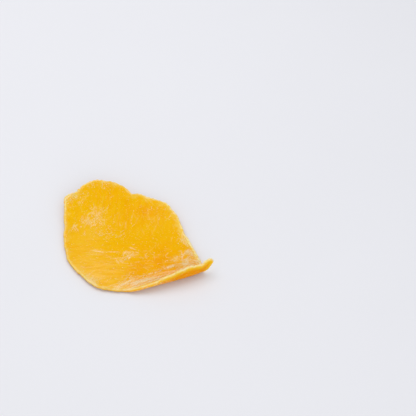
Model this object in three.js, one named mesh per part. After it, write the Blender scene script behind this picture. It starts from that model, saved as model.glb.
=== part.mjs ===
// A dried mango slice: one cheek cut from the fruit and dried to a leathery sheet with a thin, uneven rim.
// It lies on its belly with the cut face up, and the long corner at +X, -Y has curled up into a lip.
// Millimetres, +Z up. The origin is on the table, under the middle of the slice's box.
import * as THREE from "three";

// Thickness of the flesh
const middleThickness = 3.8; // over most of the slice
const rimThickness = 1.8; // at the dried edge, which is round
const rimTaper = 5; // power of the thinning: high keeps it close to the edge

// How the sheet lies
const bellyShare = 0.32; // this part of the way out to the rim lies flat on the table
const liftPower = 2; // the rest rises to the rim's own lift by this power

// The rim of the flat sheet, anticlockwise round the sheet's middle.
// Each station is a heading in degrees from +X, a reach, and the lift of the rim off the table.
const sheetMiddle = new THREE.Vector2(-3.5, -2.6); // from the origin
const rimStations = [
  [-32.9, 60.1, 2.2], // tip of the long corner, which the lip carries up
  [-31, 59.4, 2.1],
  [-30.3, 54.4, 1.7], // the end edge cuts in below the tip
  [-28.4, 48.6, 1.2],
  [-24.8, 45.2, 0.8],
  [-21, 43.5, 0.6],
  [-14, 39, 1],
  [0, 33, 1.5], // straight right edge
  [17, 30.5, 2.5],
  [34, 31.2, 3],
  [50, 31.5, 4], // right shoulder
  [72, 30.9, 4],
  [84, 32.3, 3.5], // small lobe
  [90.5, 32.1, 4], // notch between the lobes
  [93.5, 33.9, 4.4],
  [99, 37.3, 5],
  [107, 41.6, 5.5],
  [117, 46.8, 5.5], // large back lobe
  [127, 48.2, 5.5],
  [137, 47.5, 5], // dip beside the left corner
  [144.5, 50, 4], // left corner
  [151, 46, 3.5],
  [162, 41.5, 2],
  [177, 38.8, 1], // straight left edge
  [196, 38, 0.6],
  [214, 37.5, 0.6],
  [229, 36.8, 0.8], // dip between two small bumps
  [241, 38, 0.8],
  [262, 36.5, 0.4], // front belly
  [282, 39, 0.3],
  [300, 44, 0.3], // the lip starts here
  [315, 51.5, 0.3],
  [322.2, 54.9, 0.9], // the lip dips before its tip
];

// The ragged edge: waves round the rim, each with its share of the depth and its phase in radians
const frayDepth = 0.35;
const frayWaves = [
  { count: 17, share: 0.6, phase: 0.4 },
  { count: 29, share: 0.4, phase: 2.1 },
];

// The curled lip: what lies past the fold line rolls up round a cylinder and goes on straight from there
const foldReach = 32.6; // from the sheet's middle square to the fold line
const foldHeading = 18; // degrees of the fold line from +X
const curlRadius = 5; // of the outer face
const curlAngle = 110; // past upright, so that the lip leans in over the slice

// The furrow that runs from the notch down the cut face
const furrow = { fromX: -2.3, fromY: 32.4, heading: -93, length: 42, halfWidth: 4.5, depth: 0.9 };

// The cut face's shallow waves
const ripple = { depth: 0.3, lengthX: 27, lengthY: 21 };

// Squares across each face, steps round the edge, and how finely the rim is followed
const faceCells = 40;
const edgeCells = 3;
const rimWaves = 150;
const rimSamples = 900;
const waveFade = 0.5; // how soon the rim's waves die out: lower keeps the squares open beside the notch

const radians = THREE.MathUtils.degToRad;
const noseRadius = rimThickness / 2;

// A closed curve through the stations: x and y from the sheet's middle, and the rim's lift as z
const rimCurve = new THREE.CatmullRomCurve3(
  rimStations.map(([heading, reach, lift]) => {
    const angle = radians(heading);
    return new THREE.Vector3(reach * Math.cos(angle), reach * Math.sin(angle), lift);
  }),
  true,
  "centripetal",
);
rimCurve.arcLengthDivisions = 2400;

// The rim's outward normal on the table, at a share of the rim's length from the tip
function outwardAt(turn) {
  const tangent = rimCurve.getTangentAt(turn);
  return new THREE.Vector2(tangent.y, -tangent.x).normalize();
}

// The middle line of the round edge, with the fray on it
function edgeLineAt(turn) {
  let inset = noseRadius;
  for (const wave of frayWaves) {
    inset -= frayDepth * wave.share * Math.sin(2 * Math.PI * turn * wave.count + wave.phase);
  }
  const outward = outwardAt(turn);
  const point = rimCurve.getPointAt(turn);
  return new THREE.Vector3(point.x - inset * outward.x, point.y - inset * outward.y, point.z);
}

// The edge line as a sum of waves, each a pair of vectors for its cosine and its sine
function edgeWaves() {
  const waves = [];
  for (let k = 0; k <= rimWaves; k++) waves.push([new THREE.Vector3(), new THREE.Vector3()]);
  for (let i = 0; i < rimSamples; i++) {
    const turn = i / rimSamples;
    const point = edgeLineAt(turn);
    waves.forEach(([cosine, sine], k) => {
      const weight = (k === 0 ? 1 : 2) / rimSamples;
      cosine.addScaledVector(point, weight * Math.cos(2 * Math.PI * k * turn));
      sine.addScaledVector(point, weight * Math.sin(2 * Math.PI * k * turn));
    });
  }
  return waves;
}
const waves = edgeWaves();

// A point of the flat sheet: the edge line's waves, of which the short ones fade sooner towards the middle,
// so that lobes and notch die out inwards. Its z is the lift that the sheet would have there.
function sheetPoint(share, turn) {
  const point = new THREE.Vector3();
  waves.forEach(([cosine, sine], k) => {
    const angle = 2 * Math.PI * k * turn;
    const fade = k === 0 ? 1 : share ** (1 + waveFade * (k - 1));
    point.addScaledVector(cosine, fade * Math.cos(angle)).addScaledVector(sine, fade * Math.sin(angle));
  });
  return point;
}

// How far the furrow sinks the cut face at a point: a bell across it that fades out along it
function furrowDepthAt(x, y) {
  const angle = radians(furrow.heading);
  const dx = x - furrow.fromX;
  const dy = y - furrow.fromY;
  const along = dx * Math.cos(angle) + dy * Math.sin(angle);
  const across = dy * Math.cos(angle) - dx * Math.sin(angle);
  const fade = 1 - THREE.MathUtils.smoothstep(along, furrow.length * 0.3, furrow.length);
  return furrow.depth * Math.exp(-((across / furrow.halfWidth) ** 2)) * fade;
}

// Thickness of the sheet at a point: full in the middle, thin at the rim, with the furrow and the waves
function thicknessAt(x, y, share) {
  const inner = 1 - share ** rimTaper;
  const swell = Math.sin((2 * Math.PI * x) / ripple.lengthX) * Math.cos((2 * Math.PI * y) / ripple.lengthY);
  const relief = ripple.depth * swell - furrowDepthAt(x, y);
  return rimThickness + (middleThickness - rimThickness + relief) * inner;
}

// Rolls a point of the lying sheet, at height z, round the fold's cylinder
function curl(x, y, z) {
  const angle = radians(foldHeading);
  const across = new THREE.Vector2(Math.sin(angle), -Math.cos(angle));
  const past = x * across.x + y * across.y - foldReach;
  if (past <= 0) return new THREE.Vector3(x, y, z);
  const rolled = Math.min(past / curlRadius, radians(curlAngle));
  const straight = past - curlRadius * rolled;
  const out = (curlRadius - z) * Math.sin(rolled) + straight * Math.cos(rolled);
  const up = curlRadius - (curlRadius - z) * Math.cos(rolled) + straight * Math.sin(rolled);
  return new THREE.Vector3(x + (out - past) * across.x, y + (out - past) * across.y, up);
}

// The slice: a square slab is rounded to a disc, stretched to the rim, thinned, lifted and curled.
// One corner of the slab goes to the tip.
function sliceGeometry() {
  const slab = new THREE.BoxGeometry(2, 2, 2, faceCells, faceCells, edgeCells);
  const points = slab.getAttribute("position");
  for (let i = 0; i < points.count; i++) {
    const u = points.getX(i);
    const v = points.getY(i);
    const level = (points.getZ(i) * Math.PI) / 2; // angle round the edge: the faces are at a right angle
    const discX = u * Math.sqrt(1 - (v * v) / 2);
    const discY = v * Math.sqrt(1 - (u * u) / 2);
    const share = Math.min(Math.hypot(discX, discY), 1);
    const heading = Math.atan2(discY, discX) + Math.PI / 4;
    const turn = THREE.MathUtils.euclideanModulo(heading / (2 * Math.PI), 1);

    const flat = sheetPoint(share, turn);
    const rise = Math.max(0, share - bellyShare) / (1 - bellyShare);
    const thickness = thicknessAt(flat.x, flat.y, share);
    const height = flat.z * rise ** liftPower + (thickness * (1 + Math.sin(level))) / 2;
    const nose = outwardAt(turn).multiplyScalar(noseRadius * Math.cos(level));
    points.setXYZ(i, ...curl(flat.x + nose.x, flat.y + nose.y, height));
  }
  slab.translate(sheetMiddle.x, sheetMiddle.y, 0);
  slab.computeVertexNormals();
  return slab;
}

const driedFlesh = new THREE.MeshStandardMaterial({ color: 0xf2b21e, roughness: 0.55, metalness: 0 });

const slice = new THREE.Group();
const flesh = new THREE.Mesh(sliceGeometry(), driedFlesh);
flesh.name = "mango_slice";
slice.add(flesh);

export default slice;
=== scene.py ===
import math

import bpy
import numpy as np
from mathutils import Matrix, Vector


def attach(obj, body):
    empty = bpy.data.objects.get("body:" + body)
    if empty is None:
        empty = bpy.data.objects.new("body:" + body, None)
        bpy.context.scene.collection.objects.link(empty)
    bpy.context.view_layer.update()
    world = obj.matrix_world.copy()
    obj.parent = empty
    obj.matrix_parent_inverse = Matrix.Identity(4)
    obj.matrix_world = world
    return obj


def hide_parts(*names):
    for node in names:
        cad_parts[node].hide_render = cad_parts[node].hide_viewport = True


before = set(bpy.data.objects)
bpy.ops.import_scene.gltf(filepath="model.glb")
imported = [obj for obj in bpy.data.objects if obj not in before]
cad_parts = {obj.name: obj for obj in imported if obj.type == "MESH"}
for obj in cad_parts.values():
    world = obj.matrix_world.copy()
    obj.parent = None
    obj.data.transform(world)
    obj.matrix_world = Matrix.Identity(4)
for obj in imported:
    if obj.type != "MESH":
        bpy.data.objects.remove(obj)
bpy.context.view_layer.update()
mm = 0.001

# The sheet of flesh, in mm, as the solid has it
sheet = {
    "middle": (-3.5, -2.6),  # from the origin
    "middleThickness": 3.8,
    "rimThickness": 1.8,
    "rimTaper": 5,
    "bellyShare": 0.32,  # this part of the way to the rim lies flat
    "liftPower": 2,
    "foldReach": 32.6,  # the curled lip
    "foldHeading": 18,
    "curlRadius": 5,
    "curlAngle": 110,
    "furrowFrom": (-2.3, 32.4),  # the furrow below the notch
    "furrowHeading": -93,
    "furrowLength": 42,
    "furrowFull": 0.3,  # it keeps its depth over this share of its length
    "furrowHalfWidth": 4.5,
    "furrowDepth": 0.9,
    "rippleDepth": 0.3,
    "rippleLengths": (27, 21),
    "frayDepth": 0.35,
    "frayWaves": ((17, 0.6, 0.4), (29, 0.4, 2.1)),  # count round the rim, share of the depth, phase
    "spanSteps": 80,  # of the rim's curve between two stations
    "rimSamples": 900,
    "rimWaves": 150,
    "waveFade": 0.5,  # how soon they die out inwards
    "gapSamples": 1400,  # points of the edge line for distances to it
}

# The rim, anticlockwise from the tip: heading in degrees, reach from the sheet's middle, lift off the table
rimStations = (
    (-32.9, 60.1, 2.2),  # tip of the long corner
    (-31, 59.4, 2.1),
    (-30.3, 54.4, 1.7),
    (-28.4, 48.6, 1.2),
    (-24.8, 45.2, 0.8),
    (-21, 43.5, 0.6),
    (-14, 39, 1),
    (0, 33, 1.5),  # right edge
    (17, 30.5, 2.5),
    (34, 31.2, 3),
    (50, 31.5, 4),  # right shoulder
    (72, 30.9, 4),
    (84, 32.3, 3.5),  # small lobe
    (90.5, 32.1, 4),  # notch
    (93.5, 33.9, 4.4),
    (99, 37.3, 5),
    (107, 41.6, 5.5),
    (117, 46.8, 5.5),  # large lobe
    (127, 48.2, 5.5),
    (137, 47.5, 5),
    (144.5, 50, 4),  # left corner
    (151, 46, 3.5),
    (162, 41.5, 2),
    (177, 38.8, 1),  # left edge
    (196, 38, 0.6),
    (214, 37.5, 0.6),
    (229, 36.8, 0.8),
    (241, 38, 0.8),
    (262, 36.5, 0.4),  # front belly
    (282, 39, 0.3),
    (300, 44, 0.3),
    (315, 51.5, 0.3),
    (322.2, 54.9, 0.9),
)


def smoothRise(value, start, end):
    # 0 before start, 1 after end, and 3t^2 - 2t^3 between them
    t = np.clip((value - start) / (end - start), 0, 1)
    return t * t * (3 - 2 * t)


def turned(x, y, heading):
    # Distances along a heading in degrees and square to it, on its left
    angle = math.radians(heading)
    return x * math.cos(angle) + y * math.sin(angle), y * math.cos(angle) - x * math.sin(angle)


def waveField(x, y, lengths, seed, heading=0, stretch=1, count=40):
    # A smooth random field with a spread of about 1: the sum of plane waves with random headings and phases,
    # their lengths between the two given, the whole pulled out along the heading
    rng = np.random.default_rng(seed)
    along, across = turned(x, y, heading)
    along = along / stretch
    field = np.zeros(np.shape(x))
    for _ in range(count):
        turn = rng.uniform(0, 2 * math.pi)
        wave = 2 * math.pi / rng.uniform(*lengths)
        phase = rng.uniform(0, 2 * math.pi)
        field += np.cos(wave * (along * math.cos(turn) + across * math.sin(turn)) + phase)
    return field * math.sqrt(2 / count)


def rimWaveField(turn, counts, seed, count=30):
    # The same on a closed ring: the sum of waves that go a whole number of times round the rim
    rng = np.random.default_rng(seed)
    field = np.zeros(np.shape(turn))
    for waves in rng.integers(counts[0], counts[1], count):
        field += np.cos(2 * math.pi * waves * turn + rng.uniform(0, 2 * math.pi))
    return field * math.sqrt(2 / count)


def closedCurve(stations, steps):
    # Centripetal Catmull-Rom curve through the stations: on each span a cubic whose end slopes come from
    # its neighbours, weighted by the square roots of the distances between them
    heading, reach, lift = np.array(stations, float).T
    angle = np.radians(heading)
    p1 = np.stack([reach * np.cos(angle), reach * np.sin(angle), lift], axis=1)
    p0, p2, p3 = np.roll(p1, 1, axis=0), np.roll(p1, -1, axis=0), np.roll(p1, -2, axis=0)
    spans = (p1 - p0, p2 - p1, p3 - p2)
    d0, d1, d2 = (np.sqrt(np.linalg.norm(span, axis=1))[:, None] for span in spans)
    slope1 = ((p1 - p0) / d0 - (p2 - p0) / (d0 + d1) + (p2 - p1) / d1) * d1
    slope2 = ((p2 - p1) / d1 - (p3 - p1) / (d1 + d2) + (p3 - p2) / d2) * d1
    t = (np.arange(steps) / steps)[None, :, None]
    square = 3 * (p2 - p1) - 2 * slope1 - slope2
    cube = 2 * (p1 - p2) + slope1 + slope2
    points = p1[:, None] + slope1[:, None] * t + square[:, None] * t**2 + cube[:, None] * t**3
    return points.reshape(-1, 3)


def evenly(points, count):
    # The closed line through the points, walked in count equal steps
    ring = np.vstack([points, points[:1]])
    walked = np.concatenate([[0], np.cumsum(np.linalg.norm(np.diff(ring, axis=0), axis=1))])
    at = np.linspace(0, walked[-1], count, endpoint=False)
    return np.stack([np.interp(at, walked, ring[:, k]) for k in range(3)], axis=1)


def edgeLine():
    # The round edge's middle line, with its normals: the rim moved in by half its thickness and frayed
    rim = evenly(closedCurve(rimStations, sheet["spanSteps"]), sheet["rimSamples"])
    slope = np.roll(rim, -1, axis=0) - np.roll(rim, 1, axis=0)
    outward = np.stack([slope[:, 1], -slope[:, 0]], axis=1)
    outward /= np.linalg.norm(outward, axis=1)[:, None]
    turn = np.arange(len(rim)) / len(rim)
    inset = np.full(len(rim), sheet["rimThickness"] / 2)
    for waves, share, phase in sheet["frayWaves"]:
        inset -= sheet["frayDepth"] * share * np.sin(2 * math.pi * turn * waves + phase)
    rim[:, :2] -= inset[:, None] * outward
    return rim, outward


edge, edgeOutward = edgeLine()
edgeWaves = np.fft.rfft(edge, axis=0)[: sheet["rimWaves"] + 1] * 2 / len(edge)
edgeWaves[0] /= 2


def sheetPlace(share, turn):
    # The sum over the edge line's waves of factor k times share^(1 + fade (k - 1)) e^(i k turn): short waves
    # fade sooner towards the middle, so lobes and notch die out there. The third value is the lift.
    turning = np.exp(2j * math.pi * turn)
    total = np.zeros(share.shape + (3,)) + edgeWaves[0].real
    wave = share * turning
    for factor in edgeWaves[1:]:
        total += wave.real[..., None] * factor.real - wave.imag[..., None] * factor.imag
        wave = wave * share ** sheet["waveFade"] * turning
    return total


def outwardAt(turn):
    # The rim's outward normal at a turn, between the two nearest samples
    count = len(edgeOutward)
    low = np.floor(turn * count).astype(int)
    part = (turn * count - low)[..., None]
    return edgeOutward[low % count] * (1 - part) + edgeOutward[(low + 1) % count] * part


def pastFold(x, y):
    # Distance past the fold line, square to it
    return -turned(x, y, sheet["foldHeading"])[1] - sheet["foldReach"]


def alongFold(x, y):
    return turned(x, y, sheet["foldHeading"])[0]


def furrow(x, y):
    # A bell across its line that fades out along it
    fromX, fromY = sheet["furrowFrom"]
    along, across = turned(x - fromX, y - fromY, sheet["furrowHeading"])
    fade = 1 - smoothRise(along, sheet["furrowLength"] * sheet["furrowFull"], sheet["furrowLength"])
    return sheet["furrowDepth"] * np.exp(-((across / sheet["furrowHalfWidth"]) ** 2)) * fade


def thicknessAt(x, y, share):
    # Full in the middle and thin at the rim by 1 - share^taper, with the furrow and the shallow waves
    inner = 1 - share ** sheet["rimTaper"]
    lengthX, lengthY = sheet["rippleLengths"]
    ripple = sheet["rippleDepth"] * np.sin(2 * math.pi * x / lengthX) * np.cos(2 * math.pi * y / lengthY)
    full = sheet["middleThickness"] - sheet["rimThickness"] + ripple - furrow(x, y)
    return sheet["rimThickness"] + full * inner


def curl(points):
    # What lies past the fold line rolls up round a cylinder and goes on straight from there
    radius = sheet["curlRadius"]
    angle = math.radians(sheet["foldHeading"])
    past = pastFold(points[:, 0], points[:, 1])
    rolled = np.clip(past / radius, 0, math.radians(sheet["curlAngle"]))
    straight = np.maximum(past - radius * rolled, 0)
    height = points[:, 2]
    out = (radius - height) * np.sin(rolled) + straight * np.cos(rolled)
    up = radius - (radius - height) * np.cos(rolled) + straight * np.sin(rolled)
    shift = np.where(past > 0, out - past, 0)
    across = np.array([math.sin(angle), -math.cos(angle)])
    flat = points[:, :2] + shift[:, None] * across + sheet["middle"]
    return np.column_stack([flat, np.where(past > 0, up, height)])


def gapToEdge(x, y):
    # Distance on the flat sheet from each point to the nearest point of the edge line, block by block
    line = evenly(edge * (1, 1, 0), sheet["gapSamples"])[:, :2]
    flat = np.column_stack([x, y])
    gap = np.empty(len(flat))
    blockSize = 4000
    for start in range(0, len(flat), blockSize):
        block = flat[start : start + blockSize]
        gap[start : start + blockSize] = np.sqrt(((block[:, None] - line) ** 2).sum(axis=2).min(axis=1))
    return gap


# Frost on the cut face, in mm on the flat sheet from its middle
frost = {
    "everywhere": 0.03,
    "clouds": 0.3,  # how much that comes and goes
    "cloudLengths": (9, 25),
    "ragged": 0.35,  # how ragged the patches are, in half widths
    "raggedLengths": (2.5, 9),
    "patches": (  # x, y, half length, half width, heading in degrees, strength
        (-22.5, 13, 7, 5, 40, 0.36),  # scuffed patch at the left
        (-33, 6, 3, 2.5, 60, 0.35),
        (-16, 17, 6, 3, -45, 0.25),
        (-15, 5, 10, 6, -20, 0.25),
        (-1.5, -14.5, 5.5, 3, 45, 0.38),  # scuffs in the middle
        (10, -12, 4, 2, 20, 0.3),
        (32, -18, 7, 3.5, -20, 0.7),  # right corner
        (33, -8, 8, 2.2, -62, 0.55),
        (-36, 28, 4, 1.8, 35, 0.5),  # left corner
        (-18, 38, 12, 2.2, 8, 0.28),  # back rim of the large lobe
        (-20, -29, 12, 4, -35, 0.22),  # lower left rim
        (-20.3, -30, 5, 1.8, -50, 0.6),
        (15, 16, 11, 6, -30, 0.11),
        (-2, -33, 6, 2.2, 22, 0.6),  # where the lip starts
    ),
    "haze": (  # a smooth veil with no specks, placed like the patches
        (-17, -24, 15, 8, -22, 1.0),
        (-25, -2, 13, 8, 70, 0.45),
        (15, 14, 12, 7, -30, 0.12),
    ),
    "bands": (  # along the fold: distance past it, half width, start, end, strength
        (-2.5, 4.5, -14, 40, 0.4),  # behind the lip
        (2.5, 1.6, -14, 40, 0.6),
    ),
    "bandEnds": 6,  # a band fades over this much at either side of its start and end
    "bandRagged": 0.6,  # share of the patches' raggedness
    "bandStreaks": 0.55,  # how streaky the bands are along the fold
    "bandStreakLengths": (1.8, 5),
    "bandStreakStretch": 8,
    "skin": 0.06,  # the peeled side
    "skinClouds": 0.6,
    "skinRagged": 0.4,
    "lip": (6, 5, -20, 14, 0.7),  # a band on the lip's outer face
    "scratches": (  # x, y, spread along and across, heading and its spread, count, half lengths, strength
        (-22.5, 13.5, 4, 3, 48, 9, 34, (0.5, 2.2), 1.0),
        (-21.5, 14.5, 4, 3, -42, 10, 28, (0.5, 1.4), 0.9),
        (0.5, -12, 2.2, 2, -70, 35, 16, (0.5, 1.9), 1.2),
        (-4.5, -17, 2, 1.6, -60, 40, 12, (0.4, 1.6), 1.1),
        (5, -13, 5, 3, 15, 40, 14, (0.4, 1.5), 0.7),
        (-18, -11, 7, 1.5, -6, 6, 8, (1.0, 3.0), 0.5),
        (30, -17, 6, 3.5, 0, 50, 20, (0.6, 2.4), 0.8),
        (33, -6, 8, 1.5, -62, 25, 12, (0.6, 2.0), 0.7),
        (14, -32, 15, 1.8, 18, 6, 90, (1.5, 6.0), 1.1),  # along the lip
        (20, -26, 12, 2.2, 22, 22, 26, (0.6, 2.2), 0.7),
        (-1, -32.5, 5, 1.3, 24, 8, 18, (1.2, 4.0), 1.0),  # where the lip starts
        (-20, -26, 12, 5, -6, 8, 26, (1.0, 4.0), 0.3),
        (-31, 26, 6, 3, 40, 25, 12, (0.6, 2.4), 0.6),
        (-20.3, -30.2, 3.5, 1, -50, 30, 16, (0.5, 1.6), 1.1),  # lower left rim
        (-38.1, 28.9, 0.8, 0.3, 30, 4, 7, (1.2, 2.2), 1.5),  # left corner
        (-15, 24, 12, 8, 80, 18, 34, (0.8, 3.0), 0.25),
        (12, 12, 12, 9, 75, 30, 34, (0.8, 3.0), 0.32),
        (0, -22, 24, 7, 2, 12, 50, (1.0, 4.0), 0.28),
    ),
    "scratchWidth": (0.2, 0.36),
    "scratchBow": 0.1,  # spread of the bow, in half lengths
    "faintest": 0.35,  # share of the strength that the faintest stroke of a group has
    "scratchLevels": (0.5, 0.9),  # how far up the round edge they set in and are full
    "seed": 19,
}


def frostAt(x, y):
    # The densest of the patches and bands at each point: a patch is a bell over an ellipse, ragged by a
    # random field, and a band is streaky along the fold
    density = frost["everywhere"] * (1 + frost["clouds"] * waveField(x, y, frost["cloudLengths"], seed=40))
    ragged = frost["ragged"] * waveField(x, y, frost["raggedLengths"], seed=41)
    for px, py, halfLength, halfWidth, heading, strength in frost["patches"]:
        along, across = turned(x - px, y - py, heading)
        reach = np.sqrt((along / halfLength) ** 2 + (across / halfWidth) ** 2) + ragged
        density = np.maximum(density, strength * np.exp(-np.maximum(reach, 0) ** 2))
    foldWay = {"heading": sheet["foldHeading"], "stretch": frost["bandStreakStretch"]}
    streaks = 1 + frost["bandStreaks"] * waveField(x, y, frost["bandStreakLengths"], seed=44, **foldWay)
    for band in frost["bands"]:
        density = np.maximum(density, foldBand(x, y, ragged, *band) * streaks)
    return np.clip(density, 0, 1)


def scratchesAt(x, y):
    # Strokes thrown at random about each group's middle, and the sugar along the creases. A stroke is a
    # bowed bell exp(-(off/width)^2 - along^4), and the strongest at a point counts.
    rng = np.random.default_rng(frost["seed"])
    drawn = np.zeros(np.shape(x))
    for px, py, spreadAlong, spreadAcross, heading, veer, count, halfLengths, strength in frost["scratches"]:
        group = math.radians(heading)
        for _ in range(count):
            out, aside = rng.normal(0, spreadAlong), rng.normal(0, spreadAcross)
            cx = px + out * math.cos(group) - aside * math.sin(group)
            cy = py + out * math.sin(group) + aside * math.cos(group)
            ownHeading = heading + rng.normal(0, veer)
            halfLength = rng.uniform(*halfLengths)
            width = rng.uniform(*frost["scratchWidth"])
            bow = rng.normal(0, frost["scratchBow"]) * halfLength
            depth = strength * rng.uniform(frost["faintest"], 1)
            along, across = turned(x - cx, y - cy, ownHeading)
            along = along / halfLength
            off = across - bow * along**2
            drawn = np.maximum(drawn, depth * np.exp(-((off / width) ** 2) - along**4))
    for _, sugared, ridge in creasesAt(x, y):
        drawn = np.maximum(drawn, sugared * ridge)
    return drawn


def foldBand(x, y, ragged, past, halfWidth, start, end, strength):
    # A bell across the fold that sets in and dies out along it
    across = (pastFold(x, y) - past) / halfWidth + frost["bandRagged"] * ragged
    along = alongFold(x, y)
    fade = frost["bandEnds"]
    ends = smoothRise(along, start - fade, start + fade) * (1 - smoothRise(along, end - fade, end + fade))
    return strength * ends * np.exp(-(across**2))


def skinFrostAt(x, y):
    # The peeled side has a thin film, and more on the lip's outer face
    ragged = frost["skinRagged"] * waveField(x, y, frost["raggedLengths"], seed=43)
    film = frost["skin"] * (1 + frost["skinClouds"] * waveField(x, y, frost["cloudLengths"], seed=42))
    return np.clip(np.maximum(film, foldBand(x, y, ragged, *frost["lip"])), 0, 1)


# The finished slice and its fine relief in mm. Places on the rim are shares of its length from the tip.
flesh = {
    "cells": 214,  # squares across each face
    "edgeRows": 6,  # rows of squares round the edge
    "lumpDepth": 0.19,
    "lumpLengths": (6, 14),
    "fibreDepth": 0.065,
    "fibreLengths": (1.6, 3.2),
    "fibreStretch": 7,
    "fibreCount": 60,  # waves summed for the fibres
    "fibreHeadings": (4, 88),  # in the front half and in the rear half
    "fibreTurn": (-10, 8),  # from the first of these to the second on y they go over from one to the other
    "turnSlope": 0.15,  # how much that border falls to the right
    "turnWander": 3,  # how far it wanders
    "turnLengths": (14, 30),
    "topFade": 12,  # power of the way out to the rim by which the relief of the faces dies out
    "skinDepth": 0.10,
    "puckerLengths": (3, 8),
    "wrinkles": 0.6,  # finer puckers, as a share of the others
    "wrinkleLengths": (1.6, 4),
    "wrinkleHeading": 30,
    "wrinkleStretch": 3,
    "skinRest": 1.2,  # the skin lies this many depths in, where there is no pucker
    "skinFrom": (0.2, 0.5),  # part of the way out to the rim where the puckers set in and are full
    "raggedFade": 25,  # power by which the ragged rim dies out inwards
    "ragged": (  # middle and half width on the rim, depth, waves round the whole rim
        (0.5, 9, 0.06, (22, 90)),
        (0.43, 0.06, 0.20, (35, 150)),  # the large lobe
        (0.47, 0.025, 0.26, (70, 150)),  # beside the left corner
        (0.27, 0.05, 0.14, (35, 130)),  # the right shoulder
        (0.95, 0.06, 0.16, (30, 150)),  # the lip
        (0, 0.02, 0.12, (30, 90)),  # its tip
    ),
    "lipFrom": (0.82, 0.9),  # where on the rim the lip sets in
    "lipTo": (0.02, 0.04),  # where it ends, past the tip
    "crestLevels": (0.55, 0.95),  # how far up the edge the pale line sets in and is full
    "crestDrop": (0.57, 0.83),  # how much lower both are on the lip
    "crestAlong": (  # place on the rim, strength of the pale line there
        (0, 1.0),
        (0.13, 1.0),
        (0.18, 0.75),
        (0.28, 0.75),
        (0.34, 0.3),
        (0.42, 0.6),
        (0.50, 0.85),
        (0.54, 0.5),
        (0.64, 0.4),
        (0.68, 0.4),
        (0.73, 0.8),
        (0.77, 0.4),
        (0.82, 0.55),
        (0.9, 0.9),
        (1, 1.0),
    ),
    "creases": (  # x, y, heading, half length, half width, height, bow, sugar along it
        (-18, -10.3, -14, 3.4, 0.38, 0.25, 0.3, 1.1),
        (-9.5, -10.8, -2, 4, 0.38, 0.12, 0.2, 0.6),
        (-20.5, -12.6, -6, 4, 0.4, 0.12, 0.4, 0.4),
        (2, -12.5, 12, 3, 0.45, 0.15, -0.4, 0.6),
        (-6, -15.5, 4, 4, 0.4, 0.12, 0.5, 0.5),
        (35.3, -16.2, 0, 5.4, 0.4, 0.20, 0.1, 1.4),  # round the sugared right corner
        (32.4, -10.5, 41, 2.6, 0.4, 0.15, 0.2, 1.2),
        (30.4, -13.9, 80, 2.2, 0.4, 0.15, 0.2, 1.1),
        (-1.8, -32.4, 27, 6, 0.4, 0.10, 0.3, 1.2),  # where the lip starts
        (0.5, -30.8, 25, 5, 0.35, 0.08, 0.2, 0.9),
        (4, -32.6, 20, 6, 0.35, 0.08, 0.2, 1.0),
        (14, -29.0, 19, 9, 0.35, 0.08, 0.1, 1.0),  # along the fold
        (20, -25.4, 17, 8, 0.35, 0.08, 0.3, 0.8),
        (27, -23.6, 19, 8, 0.35, 0.08, -0.2, 0.9),
    ),
}


# Where the flesh is a deeper amber, placed like the frost; a negative strength makes it more lemon. Down the
# furrow, in the fold and above the lip the deeper amber is painted shade; elsewhere it is tone.
amberAndShade = (
    (9, -21, 15, 6, 10, 0.24),  # above the lip: painted shade of the lip over the valley behind it
    (14, -28.5, 18, 3, 18, 0.32),  # in the fold: painted shade
    (-3.5, 15, 15, 3, 88, 0.28),  # down the furrow: painted shade
    (-15, 29, 11, 8, 0, 0.3),  # large lobe
    (9, 19, 10, 5, -20, 0.36),  # right shoulder
    (-36, -8, 9, 3, 80, 0.25),  # left edge
    (-28, -2, 12, 7, 60, -0.25),
    (24, 4, 9, 9, 0, -0.25),
)


def patchSum(x, y, patches):
    # The sum of the patches' bells over their ellipses
    total = np.zeros(np.shape(x))
    for px, py, halfLength, halfWidth, heading, strength in patches:
        along, across = turned(x - px, y - py, heading)
        total += strength * np.exp(-((along / halfLength) ** 2) - (across / halfWidth) ** 2)
    return total


def fibreMask(x, y):
    # Fibres run across in the front half (1) and front to back in the rear half (0), with a wavy border
    wander = flesh["turnWander"] * waveField(x, y, flesh["turnLengths"], seed=5, count=12)
    return 1 - smoothRise(y + flesh["turnSlope"] * x + wander, *flesh["fibreTurn"])


def creasesAt(x, y):
    # Thin bowed ridges exp(-(off/width)^2) exp(-along^4), each with its height and its sugar
    for px, py, heading, halfLength, halfWidth, height, bow, sugared in flesh["creases"]:
        along, across = turned(x - px, y - py, heading)
        along = along / halfLength
        off = across - bow * (1 - along**2)
        yield height, sugared, np.exp(-((off / halfWidth) ** 2)) * np.exp(-(along**4))


def topRelief(x, y):
    # Lumps, fibres along the grain and a few fine creases, in mm
    lumps = flesh["lumpDepth"] * waveField(x, y, flesh["lumpLengths"], seed=2)
    front, rear = flesh["fibreHeadings"]
    fibres = {"stretch": flesh["fibreStretch"], "count": flesh["fibreCount"]}
    across = waveField(x, y, flesh["fibreLengths"], seed=3, heading=front, **fibres)
    lengthwise = waveField(x, y, flesh["fibreLengths"], seed=4, heading=rear, **fibres)
    mask = fibreMask(x, y)
    relief = lumps + flesh["fibreDepth"] * (across * mask + lengthwise * (1 - mask))
    for height, _, ridge in creasesAt(x, y):
        relief += height * ridge
    return relief


def skinRelief(x, y):
    # The peeled side: depth times (rest - tanh(puckers)), which only goes inwards, so the belly stays down
    wrinkleWay = {"heading": flesh["wrinkleHeading"], "stretch": flesh["wrinkleStretch"]}
    pucker = waveField(x, y, flesh["puckerLengths"], seed=11)
    pucker += flesh["wrinkles"] * waveField(x, y, flesh["wrinkleLengths"], seed=12, **wrinkleWay)
    return flesh["skinDepth"] * (flesh["skinRest"] - np.tanh(pucker))


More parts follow.
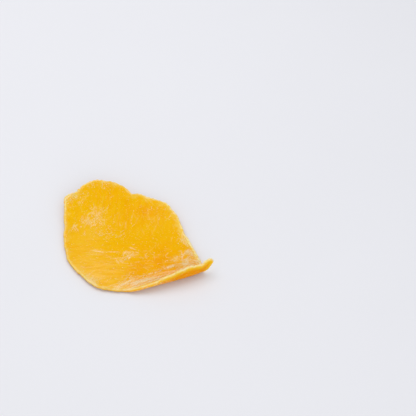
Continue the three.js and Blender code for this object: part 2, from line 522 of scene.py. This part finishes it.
def discGrid(cells):
    # A square grid rounded to a disc: x = u sqrt(1 - v^2/2), y = v sqrt(1 - u^2/2). One corner is the tip.
    u, v = np.meshgrid(np.linspace(-1, 1, cells + 1), np.linspace(-1, 1, cells + 1), indexing="ij")
    x = u * np.sqrt(1 - v**2 / 2)
    y = v * np.sqrt(1 - u**2 / 2)
    share = np.minimum(np.hypot(x, y), 1).ravel()
    turn = ((np.arctan2(y, x) + math.pi / 4) / (2 * math.pi) % 1).ravel()
    return share, turn


def squareRing(cells):
    # The grid's outer points in order, anticlockwise
    index = np.arange((cells + 1) ** 2).reshape(cells + 1, cells + 1)
    return np.concatenate([index[:-1, 0], index[-1, :-1], index[:0:-1, -1], index[0, :0:-1]])


def quadMesh(name, points, faces):
    # A mesh from an array of points in metres and an array of faces with as many corners each
    mesh = bpy.data.meshes.new(name)
    mesh.vertices.add(len(points))
    mesh.vertices.foreach_set("co", points.astype(np.float32).ravel())
    mesh.loops.add(faces.size)
    mesh.loops.foreach_set("vertex_index", faces.astype(np.int32).ravel())
    mesh.polygons.add(len(faces))
    mesh.polygons.foreach_set("loop_start", np.arange(0, faces.size, faces.shape[1], dtype=np.int32))
    mesh.update(calc_edges=True)
    mesh.validate()
    piece = bpy.data.objects.new(name, mesh)
    bpy.context.scene.collection.objects.link(piece)
    return piece


def addAttribute(piece, name, values):
    kind, field = ("FLOAT", "value") if values.ndim == 1 else ("FLOAT_VECTOR", "vector")
    attribute = piece.data.attributes.new(name, kind, "POINT")
    attribute.data.foreach_set(field, values.astype(np.float32).ravel())


def sliceSurface():
    # Both faces are the same disc grid, at level -90 and 90 degrees round the edge, and rows between them
    # close it. A point's height is the lift times its rise, plus half the thickness times 1 + sin(level),
    # plus the relief.
    cells, rows = flesh["cells"], flesh["edgeRows"]
    share, turn = discGrid(cells)
    ring = squareRing(cells)
    levels = [np.full(share.size, -90.0), np.full(share.size, 90.0)]
    shares, turns = [share, share], [turn, turn]
    for row in range(1, rows):
        levels.append(np.full(ring.size, -90 + 180 * row / rows))
        shares.append(share[ring])
        turns.append(turn[ring])
    share, turn = np.concatenate(shares), np.concatenate(turns)
    level = np.radians(np.concatenate(levels))

    flat = sheetPlace(share, turn)
    outward = outwardAt(turn)
    ragged = np.zeros(share.shape)
    for seed, (middle, halfWidth, depth, counts) in enumerate(flesh["ragged"]):
        away = (turn - middle + 0.5) % 1 - 0.5
        ragged += depth * np.exp(-((away / halfWidth) ** 2)) * rimWaveField(turn, counts, seed + 21)
    ragged *= share ** flesh["raggedFade"]
    nose = sheet["rimThickness"] / 2 * np.cos(level)
    x = flat[:, 0] + outward[:, 0] * (nose + ragged)
    y = flat[:, 1] + outward[:, 1] * (nose + ragged)

    rise = np.maximum(share - sheet["bellyShare"], 0) / (1 - sheet["bellyShare"])
    thickness = thicknessAt(x, y, share)
    upper = (1 + np.sin(level)) / 2
    inner = 1 - share ** flesh["topFade"]
    relief = upper * inner * topRelief(x, y)
    relief += (1 - upper) * inner * skinRelief(x, y) * smoothRise(share, *flesh["skinFrom"])
    height = flat[:, 2] * rise ** sheet["liftPower"] + thickness * upper + relief
    uncurled = np.column_stack([x, y, height])

    # The pale line keeps to the top of the edge, and on the lip it goes right over the edge; it is partly
    # the paler dry edge and partly a painted highlight
    onLip = smoothRise(turn, *flesh["lipFrom"]) + 1 - smoothRise(turn, *flesh["lipTo"])
    start, full = (place - drop * onLip for place, drop in zip(flesh["crestLevels"], flesh["crestDrop"]))
    crest = smoothRise(upper, start, full) * np.interp(turn, *np.array(flesh["crestAlong"]).T)
    offRim = share < 0.99999  # every point of the round edge counts as on the edge line
    return {
        "points": curl(uncurled),
        "flat": uncurled,
        "cutFace": upper > 0.999,
        "upper": upper,
        "edgeGap": gapToEdge(x, y) * offRim,
        "crest": crest,
        "frost": frostAt(x, y) * upper + skinFrostAt(x, y) * (1 - upper),
        "scratch": scratchesAt(x, y) * smoothRise(upper, *frost["scratchLevels"]),
        # painted shade down the furrow, in the fold and above the lip, and darker or lighter tone elsewhere
        "amberAndShade": patchSum(x, y, amberAndShade) * upper,
        "haze": patchSum(x, y, frost["haze"]) * upper,
        "onLip": onLip,
        "faces": sliceFaces(cells, rows, ring),
    }


def sliceFaces(cells, rows, ring):
    # Squares of the lower face turned over, squares of the upper face, then strips up the edge
    index = np.arange((cells + 1) ** 2).reshape(cells + 1, cells + 1)
    corners = [index[:-1, :-1], index[1:, :-1], index[1:, 1:], index[:-1, 1:]]
    upward = np.stack(corners, axis=-1).reshape(-1, 4)
    perFace = index.size
    loops = [ring]
    loops += [2 * perFace + row * ring.size + np.arange(ring.size) for row in range(rows - 1)]
    loops += [perFace + ring]
    strips = []
    for low, high in zip(loops, loops[1:]):
        strips.append(np.stack([low, np.roll(low, -1), np.roll(high, -1), high], axis=-1))
    return np.concatenate([upward[:, ::-1], upward + perFace] + strips)


surface = sliceSurface()
slicePiece = quadMesh("dried_mango", surface["points"] * mm, surface["faces"])
slicePiece.data.polygons.foreach_set("use_smooth", np.ones(len(slicePiece.data.polygons), bool))
addAttribute(slicePiece, "sheetPlace", surface["flat"] * mm)
addAttribute(slicePiece, "fold", pastFold(surface["flat"][:, 0], surface["flat"][:, 1]))
for name in ("upper", "edgeGap", "crest", "frost", "scratch", "amberAndShade", "haze", "onLip"):
    addAttribute(slicePiece, name, surface[name])
print("slice made,", len(slicePiece.data.polygons) * 2, "triangles")


# Small tools for materials
def addNode(tree, kind, **settings):
    node = tree.nodes.new(kind)
    for name, value in settings.items():
        setattr(node, name, value)
    return node


def feed(tree, node, **inputs):
    # Each input is a socket to link or a plain value; names are socket names with spaces left out
    for name, value in inputs.items():
        socket = next(s for s in node.inputs if s.enabled and s.name.replace(" ", "") == name)
        if isinstance(value, bpy.types.NodeSocket):
            tree.links.new(value, socket)
        else:
            socket.default_value = value
    return node


def attribute(tree, name, output="Fac"):
    return addNode(tree, "ShaderNodeAttribute", attribute_name=name).outputs[output]


def noise(tree, place, scale, detail=3, roughness=0.55, heading=0, long=1):
    # Noise of so many cells a metre, pulled out along the heading
    if long != 1:
        mapping = addNode(tree, "ShaderNodeMapping", vector_type="TEXTURE")
        feed(tree, mapping, Vector=place, Rotation=(0, 0, math.radians(heading)), Scale=(long, 1, 1))
        place = mapping.outputs[0]
    node = addNode(tree, "ShaderNodeTexNoise")
    feed(tree, node, Vector=place, Scale=scale, Detail=detail, Roughness=roughness)
    return node.outputs["Fac"]


def ranged(tree, value, low, high, toLow=0.0, toHigh=1.0):
    node = addNode(tree, "ShaderNodeMapRange", interpolation_type="SMOOTHSTEP")
    feed(tree, node, Value=value, FromMin=low, FromMax=high, ToMin=toLow, ToMax=toHigh)
    return node.outputs[0]


def maths(tree, operation, first, second):
    node = addNode(tree, "ShaderNodeMath", operation=operation)
    for socket, value in zip(node.inputs, (first, second)):
        if isinstance(value, bpy.types.NodeSocket):
            tree.links.new(value, socket)
        else:
            socket.default_value = value
    return node.outputs[0]


def mixValues(tree, factor, first, second):
    node = addNode(tree, "ShaderNodeMix", data_type="FLOAT")
    for socket, value in zip(node.inputs, (factor, None, first, second)):
        if value is not None:
            tree.links.new(value, socket)
    return node.outputs[0]


def blend(tree, factor, first, second):
    # A colour mix; either side is a socket or an sRGB triple
    node = addNode(tree, "ShaderNodeMix", data_type="RGBA")
    for socket, value in zip((node.inputs[0], node.inputs[6], node.inputs[7]), (factor, first, second)):
        if isinstance(value, bpy.types.NodeSocket):
            tree.links.new(value, socket)
        elif isinstance(value, tuple):
            socket.default_value = linear(value)
        else:
            socket.default_value = value
    return node.outputs[2]


def linear(colour):
    # sRGB 0 to 255 to a linear colour: ((c + 0.055) / 1.055)^2.4
    return tuple(((c / 255 + 0.055) / 1.055) ** 2.4 for c in colour) + (1.0,)


# Colours of the flesh as sRGB, its patterns, and how it takes light. A noise is cells a metre, detail and
# roughness; a range is where a value sets in and is full, then the least and the most that it gives.
fleshLook = {
    "lemon": (237, 181, 0),
    "body": (238, 178, 0),
    "orange": (238, 158, 0),
    "skin": (238, 152, 4),
    "cut": (245, 198, 30),  # the round edge
    "crest": (243, 224, 166),  # the pale line along its top: partly the paler dry edge, partly a painted highlight
    "rim": (238, 199, 84),  # the frosted band beside it
    "film": (247, 190, 100),
    "haze": (248, 194, 84),
    "streak": (246, 192, 26),
    "speck": (255, 224, 184),
    "clouds": (70, 3),
    "warmer": (5.0, 0.9),  # how much a metre to the front right warms it, and how much the clouds do
    "bodyFrom": (0.1, 0.6),  # of the warmth
    "orangeFrom": (0.5, 1.1),
    "glow": (2.2, 0.2, 0.0, 0.9),  # mm from the lip's edge, on its outer face
    "skinFrom": (0.55, 0.15),  # level on the round edge
    "streaks": (3, 0.65),  # detail and roughness of all that follows the fibres
    "streakTurn": (-0.012, 0.010),  # metres on y, from the front half's heading to the rear half's
    "lipStreaks": (-9.0, -4.0),  # mm past the fold, where they turn along it
    "fibres": (750, 5),  # cells a metre and stretch
    "paleFibres": (0.56, 0.70, 0.0, 0.45),
    "deepFibres": (0.48, 0.30, 0.0, 0.35),
    "veil": (0.36, 0.64, 0.25, 0.7),
    "breaks": (2400, 2, 0.7),  # in the drawn scratches
    "breakRange": (0.40, 0.60),
    "rimPatches": (190, 3, 0.65),
    "rimWander": 12.0,  # mm that the frosted band moves over the whole range of that noise
    "rimReach": (2.8, 0.0),  # mm from the edge
    "cutReach": (0.9, 0.1, 0.0, 0.2),
    "chips": (420, 4, 0.7),  # in the pale line
    "chipDepth": 4.0,  # mm, in the same way
    "crestReach": (0.7, -0.25),
    "roughness": 0.45,
    "dustRoughness": 0.8,
    "specular": 0.06,
    "specularTint": (1.0, 0.72, 0.08, 1.0),
    "scatter": 0.35,
    "scatterRadius": (1.0, 0.5, 0.12),
    "scatterDepth": 0.0016,
    "grain": (0.9, 0.15),  # of the fibres and of the dust, in the bump
    "bump": {"Strength": 0.4, "Distance": 0.0004},
}

# The frost's layers. Each shows where its noise is above a threshold, which is highest where the frost is
# sparse and falls by the reach where it is dense. A noise is cells a metre, detail and roughness, and
# fibres are cells a metre and stretch.
frostLayers = {
    "film": {"noise": (420, 3, 0.6), "sparse": 0.62, "reach": 0.30, "soft": 0.32, "cover": 0.4},
    "specks": {"noise": (1900, 2, 0.7), "sparse": 0.665, "reach": 0.165, "soft": 0.06, "cover": 0.85},
    "blots": {"noise": (900, 2, 0.6), "sparse": 0.675, "reach": 0.185, "soft": 0.08, "cover": 0.45},
    "streaks": {"fibres": (1700, 3.5), "sparse": 0.675, "reach": 0.13, "soft": 0.06, "cover": 0.6},
}


def fleshColour(tree, place, upper, gap):
    # Lemon at the back left to orange at the front right over soft clouds; the peeled side is plainer
    look = fleshLook
    separate = feed(tree, addNode(tree, "ShaderNodeSeparateXYZ"), Vector=place)
    slant = maths(tree, "SUBTRACT", separate.outputs[0], separate.outputs[1])
    slant = maths(tree, "MULTIPLY", slant, look["warmer"][0])
    clouds = maths(tree, "MULTIPLY", noise(tree, place, *look["clouds"]), look["warmer"][1])
    # the amber patches add painted shade down the furrow, in the fold and above the lip
    warmth = maths(tree, "ADD", maths(tree, "ADD", slant, clouds), attribute(tree, "amberAndShade"))
    colour = blend(tree, ranged(tree, warmth, *look["bodyFrom"]), look["lemon"], look["body"])
    colour = blend(tree, ranged(tree, warmth, *look["orangeFrom"]), colour, look["orange"])
    edgeGlow = maths(tree, "MULTIPLY", ranged(tree, gap, *look["glow"]), attribute(tree, "onLip"))
    skin = blend(tree, edgeGlow, look["skin"], look["cut"])
    colour = blend(tree, ranged(tree, upper, *look["skinFrom"]), colour, skin)
    return colour, separate.outputs[1]


def fibreStreaks(tree, place, y, scale, long):
    # Streaks that run across in front, front to back in the rear half and along the fold at the lip
    look = fleshLook
    headings = (*flesh["fibreHeadings"], sheet["foldHeading"])
    runs = [noise(tree, place, scale, *look["streaks"], heading=heading, long=long) for heading in headings]
    streaks = mixValues(tree, ranged(tree, y, *look["streakTurn"]), runs[0], runs[1])
    return mixValues(tree, ranged(tree, attribute(tree, "fold"), *look["lipStreaks"]), streaks, runs[2])


def frostLayer(tree, name, value, density):
    # The part of a noise above a threshold that falls as the frost gets denser, times the layer's cover
    layer = frostLayers[name]
    start = maths(tree, "SUBTRACT", layer["sparse"], maths(tree, "MULTIPLY", density, layer["reach"]))
    shown = ranged(tree, value, start, maths(tree, "ADD", start, layer["soft"]))
    return maths(tree, "MULTIPLY", shown, layer["cover"])


def frostDust(tree, place, y, density):
    # The strongest of the specks, blots and streaks, and of the drawn scratches broken by a fine noise
    specks = frostLayer(tree, "specks", noise(tree, place, *frostLayers["specks"]["noise"]), density)
    blots = frostLayer(tree, "blots", noise(tree, place, *frostLayers["blots"]["noise"]), density)
    streaks = fibreStreaks(tree, place, y, *frostLayers["streaks"]["fibres"])
    streaks = frostLayer(tree, "streaks", streaks, density)
    breaks = ranged(tree, noise(tree, place, *fleshLook["breaks"]), *fleshLook["breakRange"])
    drawn = maths(tree, "MULTIPLY", attribute(tree, "scratch"), breaks)
    dust = maths(tree, "MAXIMUM", maths(tree, "MAXIMUM", specks, streaks), blots)
    return maths(tree, "MAXIMUM", dust, drawn)


def wandering(tree, value, pattern, depth):
    # A distance moved to either side by a noise
    return maths(tree, "ADD", value, maths(tree, "MULTIPLY", maths(tree, "SUBTRACT", pattern, 0.5), depth))


def rimColour(tree, colour, place, gap):
    # Beside the rim a frosted band comes and goes. The round edge is a little lemon, with a broken pale line
    # along its top, partly the paler dry edge and partly a painted highlight.
    look = fleshLook
    strength = attribute(tree, "crest")
    beside = wandering(tree, gap, noise(tree, place, *look["rimPatches"]), look["rimWander"])
    band = maths(tree, "MULTIPLY", ranged(tree, beside, *look["rimReach"]), strength)
    colour = blend(tree, band, colour, look["rim"])
    colour = blend(tree, ranged(tree, gap, *look["cutReach"]), colour, look["cut"])
    # the pale line: partly the paler dry edge, partly a painted highlight
    line = wandering(tree, gap, noise(tree, place, *look["chips"]), look["chipDepth"])
    crest = maths(tree, "MULTIPLY", ranged(tree, line, *look["crestReach"]), strength)
    return blend(tree, crest, colour, look["crest"])


def fleshMaterial():
    # Flesh, its fibres, a veil and a film on it, then the rim and the dry frost
    material = bpy.data.materials.new("driedFlesh")
    material.use_nodes = True
    tree = material.node_tree
    shader = tree.nodes["Principled BSDF"]
    look = fleshLook
    place = attribute(tree, "sheetPlace", "Vector")
    gap = attribute(tree, "edgeGap")
    density = attribute(tree, "frost")
    colour, y = fleshColour(tree, place, attribute(tree, "upper"), gap)

    # Fibres just under the surface, paler and deeper by turns, and a veil that is streaky along them
    fibres = fibreStreaks(tree, place, y, *look["fibres"])
    colour = blend(tree, ranged(tree, fibres, *look["paleFibres"]), colour, look["streak"])
    colour = blend(tree, ranged(tree, fibres, *look["deepFibres"]), colour, look["orange"])
    veil = maths(tree, "MULTIPLY", ranged(tree, fibres, *look["veil"]), attribute(tree, "haze"))
    colour = blend(tree, veil, colour, look["haze"])

    film = frostLayer(tree, "film", noise(tree, place, *frostLayers["film"]["noise"]), density)
    colour = blend(tree, film, colour, look["film"])
    colour = rimColour(tree, colour, place, gap)
    dust = frostDust(tree, place, y, density)
    colour = blend(tree, dust, colour, look["speck"])
    tree.links.new(colour, shader.inputs["Base Color"])

    rougher = ranged(tree, dust, 0.0, 0.8, look["roughness"], look["dustRoughness"])
    tree.links.new(rougher, shader.inputs["Roughness"])
    shader.inputs["Specular IOR Level"].default_value = look["specular"]
    shader.inputs["Specular Tint"].default_value = look["specularTint"]
    shader.inputs["Subsurface Weight"].default_value = look["scatter"]
    shader.inputs["Subsurface Radius"].default_value = look["scatterRadius"]
    shader.inputs["Subsurface Scale"].default_value = look["scatterDepth"]

    fibreGrain, dustGrain = look["grain"]
    fineRelief = maths(tree, "MULTIPLY", fibres, fibreGrain)
    grain = maths(tree, "ADD", fineRelief, maths(tree, "MULTIPLY", dust, dustGrain))
    bump = feed(tree, addNode(tree, "ShaderNodeBump"), Height=grain, **look["bump"])
    tree.links.new(bump.outputs[0], shader.inputs["Normal"])
    return material


slicePiece.data.materials.append(fleshMaterial())
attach(slicePiece, "root")
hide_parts("mango_slice")
print("flesh finished")

# Loose sugar grains stuck to the cut face, some strung along short strokes
sugar = {
    "single": 1700,
    "strokes": 330,
    "perStroke": (3, 8),
    "spacing": 0.38,
    "veer": 0.35,  # radians by which strokes leave the fibres' heading
    "lipFrom": (-7, -2),  # mm past the fold, where strokes turn along it
    "gather": 1.6,  # power of the frost's density: higher keeps grains to the dense frost
    "clearOfRim": (0.1, 0.8),
    "scatter": 0.09,
    "radius": (0.10, 0.25),
    "cornerReach": (0.7, 1.2),  # of a crystal's corners, in radii
    "proud": -0.1,  # how far a grain's middle stands above the flesh, in radii
    "colour": (255, 240, 208),
    "shade": (254, 222, 158),
    "clouds": (1500, 2),  # cells a metre and detail
    "roughness": (0.25, 0.5),
    "bump": {"Strength": 0.3, "Distance": 0.0001},
    "glow": 0.3,  # light that scatters inside a grain
    "glowRadius": (1.0, 0.8, 0.5),
    "glowDepth": 0.0004,
    "seed": 7,
}


def grainPlaces(rng):
    # Points of the cut face drawn by frost density: single grains, and strokes that follow the fibres
    cutFace = surface["cutFace"]
    flat = surface["flat"][cutFace]
    weight = surface["frost"][cutFace] ** sugar["gather"]
    weight *= smoothRise(surface["edgeGap"][cutFace], *sugar["clearOfRim"])
    weight /= weight.sum()
    singles = flat[rng.choice(len(flat), sugar["single"], p=weight)][:, :2]
    starts = flat[rng.choice(len(flat), sugar["strokes"], p=weight)][:, :2]
    mask = fibreMask(starts[:, 0], starts[:, 1])
    lip = smoothRise(pastFold(starts[:, 0], starts[:, 1]), *sugar["lipFrom"])
    front, rear = flesh["fibreHeadings"]
    alongFibres = np.radians(rear + (front - rear) * mask)
    heading = alongFibres * (1 - lip) + math.radians(sheet["foldHeading"]) * lip
    heading += rng.normal(0, sugar["veer"], len(starts))
    counts = rng.integers(*sugar["perStroke"], len(starts))
    step = np.concatenate([np.arange(count) for count in counts]) * sugar["spacing"]
    owner = np.repeat(np.arange(len(starts)), counts)
    way = np.column_stack([np.cos(heading[owner]), np.sin(heading[owner])])
    strung = starts[owner] + way * step[:, None]
    places = np.vstack([singles, strung])
    return places + rng.normal(0, sugar["scatter"], places.shape)


def topHeight(places):
    # Height of the uncurled cut face at each place: the nearest grid points, weighted by 1 / distance^2
    cutFace = surface["flat"][surface["cutFace"]]
    heights = np.empty(len(places))
    nearest, blockSize = 4, 250
    tiny = 0.001  # keeps a grain that is right on a grid point from dividing by nothing
    for start in range(0, len(places), blockSize):
        block = places[start : start + blockSize]
        gap = ((block[:, None] - cutFace[:, :2]) ** 2).sum(axis=2)
        near = np.argpartition(gap, nearest, axis=1)[:, :nearest]
        weight = 1 / (np.take_along_axis(gap, near, axis=1) + tiny)
        heights[start : start + blockSize] = (cutFace[near, 2] * weight).sum(axis=1) / weight.sum(axis=1)
    return heights


def grainPoints(rng):
    # Each grain is an eight-sided crystal: six corners on its own three radii, turned at random, sunk in
    places = grainPlaces(rng)
    radius = rng.uniform(*sugar["radius"], len(places))
    centre = curl(np.column_stack([places, topHeight(places) + sugar["proud"] * radius]))
    corners = np.array([(1, 0, 0), (-1, 0, 0), (0, 1, 0), (0, -1, 0), (0, 0, 1), (0, 0, -1)], float)
    upperSides = [(0, 2, 4), (2, 1, 4), (1, 3, 4), (3, 0, 4)]
    lowerSides = [(2, 0, 5), (1, 2, 5), (3, 1, 5), (0, 3, 5)]
    sides = np.array(upperSides + lowerSides)
    frames = np.linalg.qr(rng.normal(size=(len(places), 3, 3)))[0]
    frames[:, :, 0] *= np.linalg.det(frames)[:, None]
    size = radius[:, None] * rng.uniform(*sugar["cornerReach"], (len(places), 3))
    points = np.einsum("gij,gkj->gki", frames, corners[None] * size[:, None])
    points = (points + centre[:, None]).reshape(-1, 3)
    faces = (sides[None] + len(corners) * np.arange(len(places))[:, None, None]).reshape(-1, 3)
    return points, faces


def sugarMaterial():
    material = bpy.data.materials.new("sugarGrains")
    material.use_nodes = True
    tree = material.node_tree
    shader = tree.nodes["Principled BSDF"]
    place = addNode(tree, "ShaderNodeTexCoord").outputs["Object"]
    cloudy = noise(tree, place, *sugar["clouds"])
    colour = blend(tree, ranged(tree, cloudy, 0.35, 0.65), sugar["shade"], sugar["colour"])
    tree.links.new(colour, shader.inputs["Base Color"])
    tree.links.new(ranged(tree, cloudy, 0.3, 0.7, *sugar["roughness"]), shader.inputs["Roughness"])
    bump = feed(tree, addNode(tree, "ShaderNodeBump"), Height=cloudy, **sugar["bump"])
    tree.links.new(bump.outputs[0], shader.inputs["Normal"])
    shader.inputs["Subsurface Weight"].default_value = sugar["glow"]
    shader.inputs["Subsurface Radius"].default_value = sugar["glowRadius"]
    shader.inputs["Subsurface Scale"].default_value = sugar["glowDepth"]
    return material


points, faces = grainPoints(np.random.default_rng(sugar["seed"]))
sugarPiece = quadMesh("sugar_grains", points * mm, faces)
sugarPiece.data.materials.append(sugarMaterial())
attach(sugarPiece, "root")
print("sugar made,", len(faces), "triangles")

# The stage: a pale floor, soft light and the photograph's view
stage = {
    "floorColour": (228, 228, 233),
    "floorClouds": 6,  # cells a metre
    "floorRoughness": 0.6,
    "floorSize": 6.0,
    "sky": 0.70,
    "skyColour": (0.98, 0.99, 1.0),
    "lights": (  # name, place, what it looks at, side in metres, watts
        ("key", (-0.15, 0.3, 0.75), (0, 0, 0), 0.6, 2.4),
        ("fill", (0.35, -0.7, 0.45), (0, 0, 0), 0.7, 1.6),
    ),
}


def floorPiece():
    # A level plane with a faint unevenness in its colour
    half = stage["floorSize"] / 2
    corners = np.array([(-half, -half, 0), (half, -half, 0), (half, half, 0), (-half, half, 0)])
    floor = quadMesh("floor", corners, np.array([[0, 1, 2, 3]]))
    material = bpy.data.materials.new("paleFloor")
    material.use_nodes = True
    tree = material.node_tree
    shader = tree.nodes["Principled BSDF"]
    place = addNode(tree, "ShaderNodeTexCoord").outputs["Object"]
    tone = ranged(tree, noise(tree, place, stage["floorClouds"]), 0.3, 0.7)
    brighter = tuple(value + 1 for value in stage["floorColour"])
    tree.links.new(blend(tree, tone, stage["floorColour"], brighter), shader.inputs["Base Color"])
    shader.inputs["Roughness"].default_value = stage["floorRoughness"]
    floor.data.materials.append(material)


def areaLight(name, place, target, side, watts):
    light = bpy.data.lights.new(name, "AREA")
    light.size = side
    light.energy = watts
    lamp = bpy.data.objects.new(name, light)
    lamp.location = place
    lamp.rotation_euler = (Vector(target) - Vector(place)).to_track_quat("-Z", "Y").to_euler()
    bpy.context.scene.collection.objects.link(lamp)


floorPiece()
for light in stage["lights"]:
    areaLight(*light)
world = bpy.data.worlds.new("studio")
world.use_nodes = True
world.node_tree.nodes["Background"].inputs["Color"].default_value = (*stage["skyColour"], 1)
world.node_tree.nodes["Background"].inputs["Strength"].default_value = stage["sky"]
bpy.context.scene.world = world
bpy.context.scene.view_settings.view_transform = "Standard"

# The photograph's view: 50 degrees above the table, looking along +Y
view = {
    "lens": 85,
    "sensor": 36,
    "clipStart": 0.01,
    "elevation": 50,
    "distance": 0.56944,
    "right": 0.0411,  # how far the slice is left of and below the middle of the picture
    "up": 0.01736,
}


def addCamera():
    # The camera stands back from the origin along its view, then moves right and up in its own plane
    tilt = math.radians(view["elevation"])
    forward = Vector((0, math.cos(tilt), -math.sin(tilt)))
    upward = Vector((0, math.sin(tilt), math.cos(tilt)))
    camera = bpy.data.objects.new("camera", bpy.data.cameras.new("camera"))
    camera.data.lens = view["lens"]
    camera.data.sensor_width = view["sensor"]
    camera.data.clip_start = view["clipStart"]
    camera.location = -view["distance"] * forward + Vector((view["right"], 0, 0)) + view["up"] * upward
    camera.rotation_euler = (math.pi / 2 - tilt, 0, 0)
    bpy.context.scene.collection.objects.link(camera)
    bpy.context.scene.camera = camera


addCamera()
print("stage and camera set")
